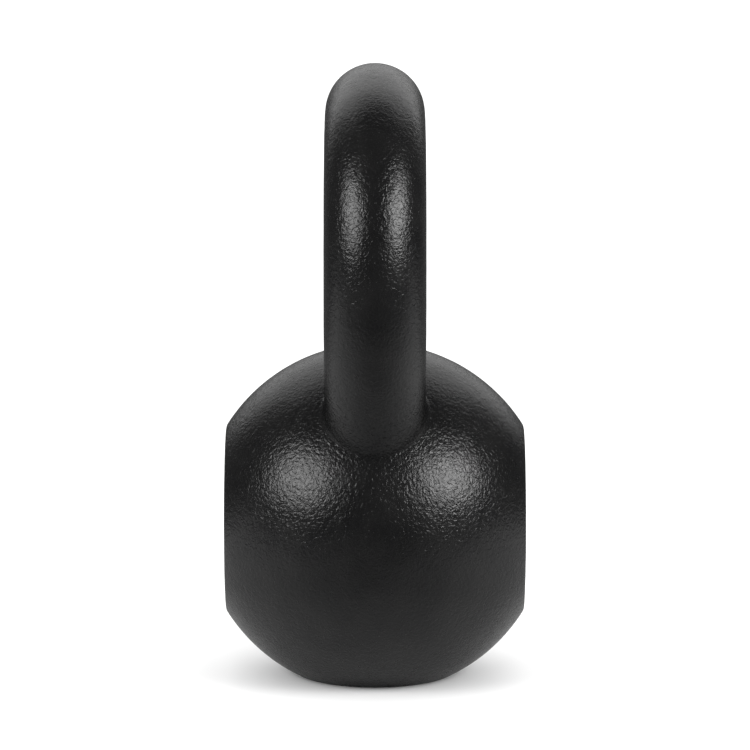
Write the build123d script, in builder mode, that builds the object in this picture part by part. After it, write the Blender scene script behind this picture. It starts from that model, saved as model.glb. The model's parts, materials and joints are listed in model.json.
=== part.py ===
from build123d import *

import os
from math import sqrt

# Plain iron kettlebell, in millimetres. +X runs along the grip, the two side flats of the ball
# face -Y and +Y, +Z is up, and the origin is the centre of the flat foot.
#
# bell             solid ball with two side flats, a flat foot and two blind sockets
# handle           bent round bar, its ends seated in the sockets
# right_root_weld  ring that fills the groove round the +X socket and blends bar into ball
# left_root_weld   the same at the -X socket

# Ball
ball_radius = 60.0
flat_offset = 51.0  # ball centre to each side flat
foot_drop = 53.7  # ball centre to foot
flat_rim_radius = 3.0
foot_rim_radius = 1.5

# Handle: the centreline is a shallow crown, a tighter shoulder, a leg bend and a straight end
overall_height = 209.7
bar_radius = 17.0
crown_radius = 100.0
crown_angle = 16.0
shoulder_radius = 40.0
shoulder_angle = 44.0
leg_bend_radius = 54.0
leg_lean = 30.0  # straight end from vertical, leaning in towards the ball
bar_end_chamfer = 1.5

# Joint between the bar and the ball
seat_depth = 24.0  # below the ball's surface, along the bar
groove_size = 2.0
root_fillet = 5.5

ball_centre = Vector(0, 0, foot_drop)
foot_radius = sqrt(ball_radius**2 - foot_drop**2)
leg_bend_angle = 90.0 + leg_lean - crown_angle - shoulder_angle

# The ball's profile stands at 45 degrees, so the seam of the turned face misses flats and sockets.
profile_plane = Plane(origin=(0, 0, 0), x_dir=(1, 1, 0), z_dir=(1, -1, 0))


def straight_end_length(start, direction):
    """Length of the bar from the end of its leg bend to the bottom of its socket."""
    to_start = start - ball_centre
    along = to_start.dot(direction)
    to_surface = -along - sqrt(along**2 - to_start.length**2 + ball_radius**2)
    return to_surface + seat_depth


# The right half of the bar is swept from the middle of the grip, then mirrored.
with BuildPart() as handle:
    with BuildLine(Plane.XZ) as centreline:
        crown = JernArc((0, overall_height - bar_radius), (1, 0), crown_radius, -crown_angle)
        shoulder = JernArc(crown @ 1, crown % 1, shoulder_radius, -shoulder_angle)
        leg_bend = JernArc(shoulder @ 1, shoulder % 1, leg_bend_radius, -leg_bend_angle)
        seat_length = straight_end_length(leg_bend @ 1, leg_bend % 1)
        straight_end = Line(leg_bend @ 1, leg_bend @ 1 + (leg_bend % 1) * seat_length)
    with BuildSketch(Plane.YZ):
        with Locations((0, overall_height - bar_radius)):
            Circle(bar_radius)
    sweep(path=centreline.wire())
    bar_end = handle.faces().filter_by(GeomType.PLANE).sort_by(Axis.Z)[0]
    chamfer(bar_end.edges(), bar_end_chamfer)
    mirror(about=Plane.YZ)

# The blank is turned about Z, then cut flat at each side.
with BuildPart() as bell_blank:
    with BuildSketch(profile_plane) as ball_profile:
        with BuildLine():
            ThreePointArc((foot_radius, 0), (ball_radius, foot_drop), (0, foot_drop + ball_radius))
            Polyline((0, foot_drop + ball_radius), (0, 0), (foot_radius, 0))
        make_face()
        foot_rim = ball_profile.vertices().group_by(Axis.Z)[0].sort_by(Axis.X)[-1]
        fillet(foot_rim, foot_rim_radius)
    revolve(axis=Axis.Z)
    split(bisect_by=Plane.XZ.offset(flat_offset), keep=Keep.BOTTOM)
    split(bisect_by=Plane.XZ.offset(-flat_offset), keep=Keep.TOP)
    fillet(bell_blank.faces().filter_by(Axis.Y).edges(), flat_rim_radius)

with BuildPart() as bell:
    add(bell_blank.part)
    add(handle.part, mode=Mode.SUBTRACT)
    bores = bell.faces().filter_by(GeomType.CYLINDER)
    mouths = [bore.edges().sort_by(Axis.Z)[-1] for bore in bores]
    chamfer(mouths, groove_size)

# Both rings are the blended joint of blank and bar, less the bar and the grooved bell.
with BuildPart() as root_joints:
    add(bell_blank.part)
    add(handle.part)
    legs = root_joints.faces().filter_by(GeomType.CYLINDER)
    corners = legs.edges().filter_by(GeomType.BSPLINE)
    fillet(corners, root_fillet)
    add(handle.part, mode=Mode.SUBTRACT)
    add(bell.part, mode=Mode.SUBTRACT)
rings = root_joints.solids().sort_by(Axis.X)

with BuildPart() as right_root_weld:
    add(rings[-1])

with BuildPart() as left_root_weld:
    add(rings[0])

os.makedirs("parts", exist_ok=True)
handle.part.label = "handle"
export_step(handle.part, "parts/handle.step")
bell.part.label = "bell"
export_step(bell.part, "parts/bell.step")
right_root_weld.part.label = "right_root_weld"
export_step(right_root_weld.part, "parts/right_root_weld.step")
left_root_weld.part.label = "left_root_weld"
export_step(left_root_weld.part, "parts/left_root_weld.step")
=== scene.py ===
import json
from math import acos, atan2, cos, pi, radians, sin, sqrt

import bmesh
import bpy
from mathutils import Matrix, Vector, noise


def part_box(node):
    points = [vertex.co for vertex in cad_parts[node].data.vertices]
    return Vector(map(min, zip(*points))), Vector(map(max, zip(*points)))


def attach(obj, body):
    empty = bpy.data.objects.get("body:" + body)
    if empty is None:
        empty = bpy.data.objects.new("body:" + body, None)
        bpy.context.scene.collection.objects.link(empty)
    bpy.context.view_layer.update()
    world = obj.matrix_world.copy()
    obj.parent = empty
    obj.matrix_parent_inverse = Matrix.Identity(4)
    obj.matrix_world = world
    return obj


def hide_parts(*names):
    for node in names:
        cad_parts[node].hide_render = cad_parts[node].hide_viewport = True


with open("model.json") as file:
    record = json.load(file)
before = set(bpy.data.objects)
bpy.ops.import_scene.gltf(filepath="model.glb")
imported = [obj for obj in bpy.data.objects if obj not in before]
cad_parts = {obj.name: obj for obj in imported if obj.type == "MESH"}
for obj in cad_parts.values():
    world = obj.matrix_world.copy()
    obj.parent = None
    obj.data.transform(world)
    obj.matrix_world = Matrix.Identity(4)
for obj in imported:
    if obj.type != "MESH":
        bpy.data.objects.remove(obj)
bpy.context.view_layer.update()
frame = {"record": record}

# Plain iron kettlebell, in metres. +X runs along the grip, the side flats of the ball face -Y and
# +Y, +Z is up, and the origin is the centre of the flat foot. Four pieces: the ball, the bent bar
# and the dressed welds at its two roots, all under one coat of satin black paint.

# Ball, placed and sized by the frame
FLAT_CENTRE = next(m["pos_m"] for m in frame["record"]["mounts"] if m["name"] == "back_flat")
BALL_CENTRE = Vector((0, 0, FLAT_CENTRE[2]))
BALL_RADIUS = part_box("bell")[1].z - BALL_CENTRE.z
FLAT_OFFSET = FLAT_CENTRE[1]
FLAT_RIM_RADIUS = 0.003
FOOT_RIM_RADIUS = 0.0015

# Bar: radius and angle of its crown, shoulder and leg bend, then a straight end in the socket
BAR_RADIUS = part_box("handle")[1].y
GRIP_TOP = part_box("handle")[1].z
CROWN = (0.100, radians(16))
SHOULDER = (0.040, radians(44))
LEG_LEAN = radians(30)
LEG_BEND = (0.054, pi / 2 + LEG_LEAN - CROWN[1] - SHOULDER[1])
BAR_END_CHAMFER = 0.0015

# Joint between bar and ball
SEAT_DEPTH = 0.024
GROOVE_SIZE = 0.002
ROOT_FILLET = 0.0060
TOE_ANGLE = (radians(24), radians(30))  # between fillet and ball at the sides, and what the front adds
LIP_LENGTH = 0.002  # of the weld's skin, up the bar past the fillet
LIP_SINK = 0.00004  # of the lip's upper edge, under the bar's face
SKIRT_LENGTH = 0.0004  # of the weld's skin, past fillet and groove, and again where it dips
SKIRT_SINK = 0.0001  # of the weld's outer edge, under the ball's face
HIDDEN_SINK = 0.0003  # of the weld's hidden faces, into ball and bar

# Mesh and surface
MESH_STEP = 0.001
BAR_SEGMENTS = 128
FLAT_STEPS = 20
FOOT_STEPS = 8
RIM_STEPS = 5
FILLET_STEPS = 10
SKIRT_STEPS = 4
MERGE_DISTANCE = 1e-6
CUT_TOLERANCE = 1e-7
SHARP_ANGLE = radians(30)
RELIEF_DEPTH = 0.00005
RELIEF_LENGTHS = (0.009, 0.005)  # the long and short waves of the cast surface

# Paint: patches vary its shade, a grain its roughness, and an orange peel its surface. A length is
# the size of the pattern's blobs, and a range is the stretch of its noise that is spread out.
PAINT_IOR = 1.5
PATCH_LENGTH = 0.014
PATCH_RANGE = (0.35, 0.65)
PATCH_SHADES = ((0.0022, 0.0022, 0.0024, 1), (0.0048, 0.0047, 0.0047, 1))
GRAIN_LENGTH = 0.0030
GRAIN_RANGE = (0.3, 0.7)
GRAIN_ROUGHNESS = (0.21, 0.29)
PEEL_LENGTH = 0.0012
PEEL_DISTORTION = 0.8
PEEL_DEPTH = 0.00023

# Studio
CAMERA_DISTANCE = 1.71
CAMERA_HEIGHT_ANGLE = radians(10.71)
CAMERA_TILT = radians(9.07)
CAMERA_LENS = 239.0
SOFTBOX_DISTANCE = 1.10
SOFTBOX_SIZE = (0.64, 0.44)
SOFTBOX_AROUND = radians(56)
SOFTBOX_ABOVE = radians(27)
SOFTBOX_WATTS = (5.8, 7.6)  # left, right
WALL_DISTANCE = 3.0
WALL_SIZE = (4.2, 3.0)
WALL_ABOVE = radians(34)
WALL_WATTS = 29.0
ROOM_SEEN = 1.12
ROOM_REFLECTED = 0.10
FLOOR_SEEN = 0.92
FLOOR_RADIUS = 8.0
FLOOR_SEGMENTS = 96
FLOOR_GAP = 0.00005  # keeps the floor off the face of the foot
# How bright the painted light on the floor is in reflections, a painted pool of light: where each part
# of it starts and ends, and its values there. The first rises with the distance aside of the grip's
# plane, the second scales the first down ahead and behind, and the third is added close to the foot.
FLOOR_PAINTED_LIGHT_ASIDE = (0.02, 0.14, 0.20, 0.40)
FLOOR_PAINTED_LIGHT_AHEAD = (0.07, 0.28, 1.0, 0.25)
FLOOR_PAINTED_LIGHT_NEAR = (0.045, 0.11, 0.24, 0.0)

X_AXIS, Y_AXIS, Z_AXIS = Matrix.Identity(3)


# ---- steps shared by the pieces ----


def verts_of(front):
    return [part for part in front if isinstance(part, bmesh.types.BMVert)]


def edges_of(front):
    return [part for part in front if isinstance(part, bmesh.types.BMEdge)]


def steps_along(length):
    return max(2, round(length / MESH_STEP))


def turned(bm, front, centre, axis, angle, steps):
    """Spins the front of a growing shape round an axis, and returns its new front."""
    return bmesh.ops.spin(
        bm, geom=front, cent=centre, axis=axis, dvec=Vector(), angle=angle, steps=steps,
        use_merge=False, use_duplicate=False,
    )["geom_last"]


def pushed(bm, front, step):
    """Extrudes the front of a growing shape once, and returns its new front."""
    if edges_of(front):
        grown = bmesh.ops.extrude_edge_only(bm, edges=edges_of(front))["geom"]
    else:
        grown = bmesh.ops.extrude_vert_indiv(bm, verts=front)["verts"]
    verts = verts_of(grown)
    bmesh.ops.translate(bm, verts=verts, vec=step)
    made = set(verts)
    return verts + [edge for edge in edges_of(grown) if made.issuperset(edge.verts)]


def drawn_in(bm, front, centre, factors):
    """Scales the front of a growing shape about a point."""
    bmesh.ops.scale(bm, verts=verts_of(front), vec=factors, space=Matrix.Translation(-centre))


def spun_full(bm, geometry, centre, axis, steps):
    """Spins a section all the way round an axis and closes its seam and its poles."""
    bmesh.ops.spin(
        bm, geom=geometry, cent=centre, axis=axis, dvec=Vector(), angle=2 * pi, steps=steps,
        use_merge=True, use_duplicate=False,
    )
    bmesh.ops.remove_doubles(bm, verts=bm.verts, dist=MERGE_DISTANCE)
    bmesh.ops.recalc_face_normals(bm, faces=bm.faces)


def relief(point):
    """Depth of the cast surface below its nominal face, at a point."""
    waves = sum(noise.noise(point / length) for length in RELIEF_LENGTHS) / len(RELIEF_LENGTHS)
    return RELIEF_DEPTH * min(1, max(0, 0.5 + waves))


def sink_relief(bm):
    bm.normal_update()
    for vert in bm.verts:
        vert.co -= relief(vert.co) * vert.normal


def make_object(name, bm):
    mesh = bpy.data.meshes.new(name)
    bm.to_mesh(mesh)
    bm.free()
    made = bpy.data.objects.new(name, mesh)
    bpy.context.scene.collection.objects.link(made)
    return made


def finish_piece(piece, node, paint):
    """Smooths and paints a piece, and lets it stand for its node."""
    piece.data.shade_smooth()
    piece.data.set_sharp_from_angle(angle=SHARP_ANGLE)
    piece.data.materials.clear()
    piece.data.materials.append(paint)
    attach(piece, "root")
    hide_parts(node)


# ---- the bar's line and the leg's frame ----


def bar_bends():
    """Centre, angle and outer length of each bend, then the place and heading where the last ends."""
    place, heading = Vector((0, 0, GRIP_TOP - BAR_RADIUS)), X_AXIS.copy()
    bends = []
    for radius, angle in (CROWN, SHOULDER, LEG_BEND):
        centre = place + radius * Y_AXIS.cross(heading)
        turn = Matrix.Rotation(angle, 3, "Y")
        place, heading = centre + turn @ (place - centre), turn @ heading
        bends.append((centre, angle, (radius + BAR_RADIUS) * angle))
    return bends, place, heading


BENDS, LEG_START, LEG_HEADING = bar_bends()
LEG_ACROSS = LEG_HEADING.cross(Y_AXIS)
AXIS_OFFSET = (BALL_CENTRE - LEG_START).dot(LEG_ACROSS)  # ball centre from the leg's axis
LEG_FOOT = BALL_CENTRE - AXIS_OFFSET * LEG_ACROSS


def leg_frame(side):
    """A leg's frame: Z runs up its axis, and the ball's centre lies on its X axis."""
    axes = Matrix((LEG_ACROSS, Y_AXIS, -LEG_HEADING)).transposed().to_4x4()
    return Matrix.Diagonal((side, 1, 1, 1)) @ Matrix.Translation(LEG_FOOT) @ axes


def height_on_ball(reach, angle, radius):
    """Height up the leg's axis of a ball's face, at a reach from the axis and an angle round it."""
    return sqrt(radius**2 - reach**2 - AXIS_OFFSET**2 + 2 * reach * AXIS_OFFSET * cos(angle))


def round_axis(reach, angle, height):
    return Vector((reach * cos(angle), reach * sin(angle), height))


def spun_round_leg(bm, rows, closed):
    """Spins a section round the leg's axis and puts each row where its formula says, at each angle."""
    row = bm.verts.layers.int.new("row")
    verts = [bm.verts.new(point) for point in rows(0)]
    for index, vert in enumerate(verts):
        vert[row] = index
    following = verts[1:] + verts[:1] if closed else verts[1:]
    edges = [bm.edges.new(pair) for pair in zip(verts, following)]
    bmesh.ops.spin(
        bm, geom=verts + edges, cent=Vector(), axis=Z_AXIS, dvec=Vector(), angle=2 * pi,
        steps=BAR_SEGMENTS, use_merge=True, use_duplicate=False,
    )
    for vert in bm.verts:
        vert.co = rows(atan2(vert.co.y, vert.co.x))[vert[row]]


# ---- ball ----


def grow_ball_section(bm):
    """Half section of the ball, from the centre of one side flat to the centre of the other."""
    rim_drop = FLAT_OFFSET - FLAT_RIM_RADIUS
    rim_reach = sqrt((BALL_RADIUS - FLAT_RIM_RADIUS) ** 2 - rim_drop**2)
    half_angle = atan2(rim_drop, rim_reach)
    outward = Vector((0, 0, rim_reach / FLAT_STEPS))
    front = [bm.verts.new(BALL_CENTRE - FLAT_OFFSET * Y_AXIS)]
    for _ in range(FLAT_STEPS):
        front = pushed(bm, front, outward)
    arcs = (
        (Vector((0, -rim_drop, rim_reach)), pi / 2 - half_angle, RIM_STEPS),
        (Vector(), 2 * half_angle, steps_along(2 * half_angle * BALL_RADIUS)),
        (Vector((0, rim_drop, rim_reach)), pi / 2 - half_angle, RIM_STEPS),
    )
    for centre, angle, steps in arcs:
        front = turned(bm, front, BALL_CENTRE + centre, -X_AXIS, angle, steps)
    for _ in range(FLAT_STEPS):
        front = pushed(bm, front, -outward)


def cut_foot(bm):
    """Cuts the ball off above its foot, then grows the foot's rim and its flat face from the cut."""
    drop = BALL_CENTRE.z - FOOT_RIM_RADIUS
    rim_reach = sqrt((BALL_RADIUS - FOOT_RIM_RADIUS) ** 2 - drop**2)
    tilts = [atan2(rim_reach, drop) * part / RIM_STEPS for part in range(RIM_STEPS, -1, -1)]
    rings = [(rim_reach + FOOT_RIM_RADIUS * sin(t), FOOT_RIM_RADIUS * (1 - cos(t))) for t in tilts]
    rings += [(rim_reach * part / FOOT_STEPS, 0) for part in range(FOOT_STEPS - 1, 0, -1)]
    front = bmesh.ops.bisect_plane(
        bm, geom=bm.verts[:] + bm.edges[:] + bm.faces[:], dist=CUT_TOLERANCE,
        plane_co=(0, 0, rings[0][1]), plane_no=-Z_AXIS, clear_outer=True,
    )["geom_cut"]
    for (reach, height), (new_reach, new_height) in zip(rings, rings[1:]):
        front = pushed(bm, front, (new_height - height) * Z_AXIS)
        drawn_in(bm, front, Vector(), (new_reach / reach, new_reach / reach, 1))
    front = pushed(bm, front, Vector())
    bmesh.ops.pointmerge(bm, verts=verts_of(front), merge_co=Vector())
    bmesh.ops.recalc_face_normals(bm, faces=bm.faces)


def socket_rows(angle):
    """Section of a socket and of the groove round its mouth, from the bottom out past the ball."""
    groove = height_on_ball(BAR_RADIUS, angle, BALL_RADIUS) - GROOVE_SIZE
    mouth_reach = BAR_RADIUS + GROOVE_SIZE
    mouth = height_on_ball(mouth_reach, angle, BALL_RADIUS)
    bottom = height_on_ball(0, 0, BALL_RADIUS) - SEAT_DEPTH
    return [
        round_axis(0, angle, bottom), round_axis(BAR_RADIUS, angle, bottom),
        round_axis(BAR_RADIUS, angle, groove), round_axis(mouth_reach, angle, mouth),
        round_axis(2 * mouth_reach - BAR_RADIUS, angle, 2 * mouth - groove),
        round_axis(0, angle, BALL_RADIUS + SEAT_DEPTH),
    ]


def cut_sockets(bell):
    """Cuts the blind sockets out of the ball."""
    cutters = []
    for side in (1, -1):
        bm = bmesh.new()
        spun_round_leg(bm, socket_rows, closed=False)
        bmesh.ops.remove_doubles(bm, verts=bm.verts, dist=MERGE_DISTANCE)
        bmesh.ops.transform(bm, matrix=leg_frame(side), verts=bm.verts)
        bmesh.ops.recalc_face_normals(bm, faces=bm.faces)
        cutters.append(make_object("socket_cutter", bm))
        cut = bell.modifiers.new("socket", "BOOLEAN")
        cut.operation = "DIFFERENCE"
        cut.solver = "EXACT"
        cut.object = cutters[-1]
    finished = bell.evaluated_get(bpy.context.evaluated_depsgraph_get())
    bell_mesh = bpy.data.meshes.new_from_object(finished)
    bell.modifiers.clear()
    bell.data = bell_mesh
    for cutter in cutters:
        bpy.data.objects.remove(cutter)


def make_bell(paint):
    """The iron ball with its side flats, its foot and its two sockets."""
    bm = bmesh.new()
    grow_ball_section(bm)
    steps = steps_along(2 * pi * BALL_RADIUS)
    spun_full(bm, bm.verts[:] + bm.edges[:], BALL_CENTRE, Y_AXIS, steps)
    sink_relief(bm)
    cut_foot(bm)
    bell = make_object("iron_ball", bm)
    cut_sockets(bell)
    finish_piece(bell, "bell", paint)


# ---- bar ----


def make_handle(paint):
    """The bent bar: half grown from the middle of the crown to its seated end, then mirrored."""
    bm = bmesh.new()
    crown_middle = Matrix.Translation((0, 0, GRIP_TOP - BAR_RADIUS)) @ Matrix.Rotation(pi / 2, 4, "Y")
    bmesh.ops.create_circle(bm, segments=BAR_SEGMENTS, radius=BAR_RADIUS, matrix=crown_middle)
    front = bm.verts[:] + bm.edges[:]
    for centre, angle, length in BENDS:
        front = turned(bm, front, centre, Y_AXIS, angle, steps_along(length))
    end_height = height_on_ball(0, 0, BALL_RADIUS) - SEAT_DEPTH
    straight = (LEG_START - LEG_FOOT).dot(-LEG_HEADING) - end_height - BAR_END_CHAMFER
    steps = steps_along(straight)
    for _ in range(steps):
        front = pushed(bm, front, LEG_HEADING * straight / steps)
    front = pushed(bm, front, BAR_END_CHAMFER * LEG_HEADING)
    end_centre = LEG_FOOT - end_height * LEG_HEADING
    drawn_in(bm, front, end_centre, (1 - BAR_END_CHAMFER / BAR_RADIUS,) * 3)
    front = pushed(bm, front, Vector())
    bmesh.ops.pointmerge(bm, verts=verts_of(front), merge_co=end_centre)
    half = bm.verts[:] + bm.edges[:] + bm.faces[:]
    bmesh.ops.mirror(bm, geom=half, axis="X", merge_dist=MERGE_DISTANCE)
    bmesh.ops.remove_doubles(bm, verts=bm.verts, dist=MERGE_DISTANCE)
    bmesh.ops.recalc_face_normals(bm, faces=bm.faces)
    sink_relief(bm)
    finish_piece(make_object("bent_bar", bm), "handle", paint)


# ---- welds ----


def on_ball(reach, angle, radius):
    """Point and outward direction of a ball's face, at a reach from the leg's axis."""
    point = round_axis(reach, angle, height_on_ball(reach, angle, radius))
    return point, (point - Vector((AXIS_OFFSET, 0, 0))).normalized()


def weld_skin(angle):
    """Points and outward directions of a weld's skin at an angle: its lip on the bar, a fillet that
    meets the ball's face at a crease, and a skirt level with that face, which ends just under it."""
    toe = TOE_ANGLE[0] + TOE_ANGLE[1] * max(0, cos(angle))
    roll_reach = BAR_RADIUS + ROOT_FILLET
    roll_distance = BALL_RADIUS + ROOT_FILLET * cos(toe)
    roll_centre = round_axis(roll_reach, angle, height_on_ball(roll_reach, angle, roll_distance))
    outward = round_axis(1, angle, 0)
    to_ball = (Vector((AXIS_OFFSET, 0, 0)) - roll_centre).normalized()
    # The fillet stops at the crease, short of its direction to the ball's centre
    squares = roll_distance**2 + ROOT_FILLET**2 - BALL_RADIUS**2
    short = acos(squares / (2 * roll_distance * ROOT_FILLET))
    reached = 1 - short / to_ball.angle(-outward)
    skin = []
    for part in (1, 0.5):
        lip_reach = BAR_RADIUS - LIP_SINK * part**2
        skin.append((round_axis(lip_reach, angle, roll_centre.z + LIP_LENGTH * part), outward))
    for step in range(FILLET_STEPS + 1):
        direction = (-outward).slerp(to_ball, reached * step / FILLET_STEPS)
        skin.append((roll_centre + ROOT_FILLET * direction, -direction))
    toe_reach = skin[-1][0].xy.length
    level_reach = max(toe_reach + SKIRT_LENGTH, BAR_RADIUS + GROOVE_SIZE)
    for step in range(1, SKIRT_STEPS + 1):
        reach = toe_reach + (level_reach - toe_reach) * step / SKIRT_STEPS
        skin.append(on_ball(reach, angle, BALL_RADIUS))
    skin.append(on_ball(level_reach + SKIRT_LENGTH, angle, BALL_RADIUS - SKIRT_SINK))
    return skin


def make_root_weld(name, node, side, paint):
    """Ring that fills the groove round a socket and blends the bar into the ball."""
    placed = leg_frame(side)

    def rows(angle):
        skin = [point - relief(placed @ point) * outward for point, outward in weld_skin(angle)]
        edge_reach = BAR_RADIUS + GROOVE_SIZE
        edge = height_on_ball(edge_reach, angle, BALL_RADIUS - HIDDEN_SINK)
        bottom = height_on_ball(BAR_RADIUS, angle, BALL_RADIUS) - GROOVE_SIZE
        return skin + [
            round_axis(edge_reach, angle, edge), round_axis(BAR_RADIUS - HIDDEN_SINK, angle, bottom),
        ]

    bm = bmesh.new()
    spun_round_leg(bm, rows, closed=True)
    bmesh.ops.transform(bm, matrix=placed, verts=bm.verts)
    bmesh.ops.recalc_face_normals(bm, faces=bm.faces)
    finish_piece(make_object(name, bm), node, paint)


# ---- paint ----


def add_node(tree, kind, **inputs):
    node = tree.nodes.new(kind)
    for name, value in inputs.items():
        node.inputs[name].default_value = value
    return node


def noise_field(tree, coordinates, length, detail, distortion=0.0):
    """Noise whose blobs are about a length across."""
    field = add_node(
        tree, "ShaderNodeTexNoise", Scale=1 / length, Detail=detail, Distortion=distortion
    )
    tree.links.new(coordinates, field.inputs["Vector"])
    return field.outputs["Fac"]


def ranged(tree, value, low, high, new_low, new_high):
    """Spreads one range of a value over another, and clamps it there."""
    spread = tree.nodes.new("ShaderNodeMapRange")
    for name, number in zip(
        ("From Min", "From Max", "To Min", "To Max"), (low, high, new_low, new_high)
    ):
        spread.inputs[name].default_value = number
    tree.links.new(value, spread.inputs["Value"])
    return spread.outputs["Result"]


def size_of(tree, value):
    """The value without its sign."""
    unsigned = tree.nodes.new("ShaderNodeMath")
    unsigned.operation = "ABSOLUTE"
    tree.links.new(value, unsigned.inputs[0])
    return unsigned.outputs["Value"]


def make_paint():
    """Satin black paint over a fine cast texture."""
    paint = bpy.data.materials.new("satin_black_paint")
    paint.use_nodes = True
    tree = paint.node_tree
    shader = tree.nodes["Principled BSDF"]
    shader.inputs["IOR"].default_value = PAINT_IOR
    coordinates = tree.nodes.new("ShaderNodeTexCoord").outputs["Object"]

    patches = noise_field(tree, coordinates, PATCH_LENGTH, detail=3)
    shade = tree.nodes.new("ShaderNodeMix")
    shade.data_type = "RGBA"
    shade.inputs["A"].default_value, shade.inputs["B"].default_value = PATCH_SHADES
    tree.links.new(ranged(tree, patches, *PATCH_RANGE, 0, 1), shade.inputs["Factor"])
    tree.links.new(shade.outputs["Result"], shader.inputs["Base Color"])

    grain = noise_field(tree, coordinates, GRAIN_LENGTH, detail=4)
    roughness = ranged(tree, grain, *GRAIN_RANGE, *GRAIN_ROUGHNESS)
    tree.links.new(roughness, shader.inputs["Roughness"])

    peel = noise_field(tree, coordinates, PEEL_LENGTH, detail=2, distortion=PEEL_DISTORTION)
    bumps = add_node(tree, "ShaderNodeBump", Strength=1.0, Distance=PEEL_DEPTH)
    tree.links.new(peel, bumps.inputs["Height"])
    tree.links.new(bumps.outputs["Normal"], shader.inputs["Normal"])
    return paint


# ---- studio ----


def mix_for_reflections(tree, seen, reflected, output):
    """Uses one shader for all but reflections, and another for what reflections show."""
    ray = tree.nodes.new("ShaderNodeLightPath")
    choice = tree.nodes.new("ShaderNodeMixShader")
    tree.links.new(ray.outputs["Is Glossy Ray"], choice.inputs["Fac"])
    tree.links.new(seen.outputs[0], choice.inputs[1])
    tree.links.new(reflected.outputs[0], choice.inputs[2])
    tree.links.new(choice.outputs["Shader"], output.inputs["Surface"])


def make_floor():
    """Plain pale floor, far wider than the object, with a painted pool of light in what reflections
    show of it.
    """
    bm = bmesh.new()
    under_foot = Matrix.Translation((0, 0, -FLOOR_GAP))
    bmesh.ops.create_circle(
        bm, cap_ends=True, segments=FLOOR_SEGMENTS, radius=FLOOR_RADIUS, matrix=under_foot
    )
    floor = make_object("floor", bm)
    pale = bpy.data.materials.new("pale_floor_with_painted_light")
    pale.use_nodes = True
    tree = pale.node_tree
    tree.nodes.remove(tree.nodes["Principled BSDF"])
    seen = add_node(tree, "ShaderNodeBsdfDiffuse", Color=(FLOOR_SEEN, FLOOR_SEEN, FLOOR_SEEN, 1))
    reflected = tree.nodes.new("ShaderNodeBsdfDiffuse")
    coordinates = tree.nodes.new("ShaderNodeTexCoord").outputs["Object"]
    places = tree.nodes.new("ShaderNodeSeparateXYZ")
    tree.links.new(coordinates, places.inputs["Vector"])
    # Painted light: reflections see the floor brighter aside of the grip's plane and close to the foot
    painted_light_aside = ranged(tree, size_of(tree, places.outputs["Y"]), *FLOOR_PAINTED_LIGHT_ASIDE)
    painted_light_ahead = ranged(tree, size_of(tree, places.outputs["X"]), *FLOOR_PAINTED_LIGHT_AHEAD)
    distance = tree.nodes.new("ShaderNodeVectorMath")
    distance.operation = "LENGTH"
    tree.links.new(coordinates, distance.inputs[0])
    painted_light_near = ranged(tree, distance.outputs["Value"], *FLOOR_PAINTED_LIGHT_NEAR)
    spread = tree.nodes.new("ShaderNodeMath")
    spread.operation = "MULTIPLY_ADD"
    for value, socket in zip((painted_light_aside, painted_light_ahead, painted_light_near), spread.inputs):
        tree.links.new(value, socket)
    tree.links.new(spread.outputs["Value"], reflected.inputs["Color"])
    mix_for_reflections(tree, seen, reflected, tree.nodes["Material Output"])
    floor.data.materials.append(pale)


def add_softbox(name, around, above, distance, size, watts):
    """Soft rectangular lamp that faces the middle of the object's height, at an angle round from
    +X and another above level."""
    lamp = bpy.data.lights.new(name, "AREA")
    lamp.shape = "RECTANGLE"
    lamp.size, lamp.size_y = size
    lamp.energy = watts
    softbox = bpy.data.objects.new(name, lamp)
    softbox.visible_camera = False
    direction = Vector((cos(around) * cos(above), sin(around) * cos(above), sin(above)))
    aim = Vector((0, 0, GRIP_TOP / 2))
    softbox.location = aim + distance * direction
    softbox.rotation_mode = "QUATERNION"
    softbox.rotation_quaternion = direction.to_track_quat("Z", "Y")
    bpy.context.scene.collection.objects.link(softbox)


def light_room():
    """Room that looks pale and lights the floor evenly, but is dim in reflections, as with flags."""
    world = bpy.data.worlds.new("studio_room")
    bpy.context.scene.world = world
    world.use_nodes = True
    tree = world.node_tree
    pale = tree.nodes["Background"]
    pale.inputs["Color"].default_value = (1, 1, 1, 1)
    pale.inputs["Strength"].default_value = ROOM_SEEN
    dim = add_node(tree, "ShaderNodeBackground", Color=(1, 1, 1, 1), Strength=ROOM_REFLECTED)
    mix_for_reflections(tree, pale, dim, tree.nodes["World Output"])


def add_camera():
    """Long lens that looks along the grip from the +X side, a little from above."""
    lens = bpy.data.cameras.new("camera")
    lens.lens = CAMERA_LENS
    camera = bpy.data.objects.new("camera", lens)
    direction = Vector((cos(CAMERA_HEIGHT_ANGLE), 0, sin(CAMERA_HEIGHT_ANGLE)))
    camera.location = BALL_CENTRE + CAMERA_DISTANCE * direction
    camera.rotation_euler = (pi / 2 - CAMERA_TILT, 0, pi / 2)
    bpy.context.scene.collection.objects.link(camera)
    bpy.context.scene.camera = camera


paint = make_paint()
make_bell(paint)
make_handle(paint)
make_root_weld("near_root_weld", "right_root_weld", 1, paint)
make_root_weld("far_root_weld", "left_root_weld", -1, paint)

make_floor()
light_room()
for name, side, watts in zip(("left_softbox", "right_softbox"), (-1, 1), SOFTBOX_WATTS):
    around = side * SOFTBOX_AROUND
    add_softbox(name, around, SOFTBOX_ABOVE, SOFTBOX_DISTANCE, SOFTBOX_SIZE, watts)
add_softbox("back_wall", pi, WALL_ABOVE, WALL_DISTANCE, WALL_SIZE, WALL_WATTS)
add_camera()
bpy.context.scene.view_settings.view_transform = "Standard"
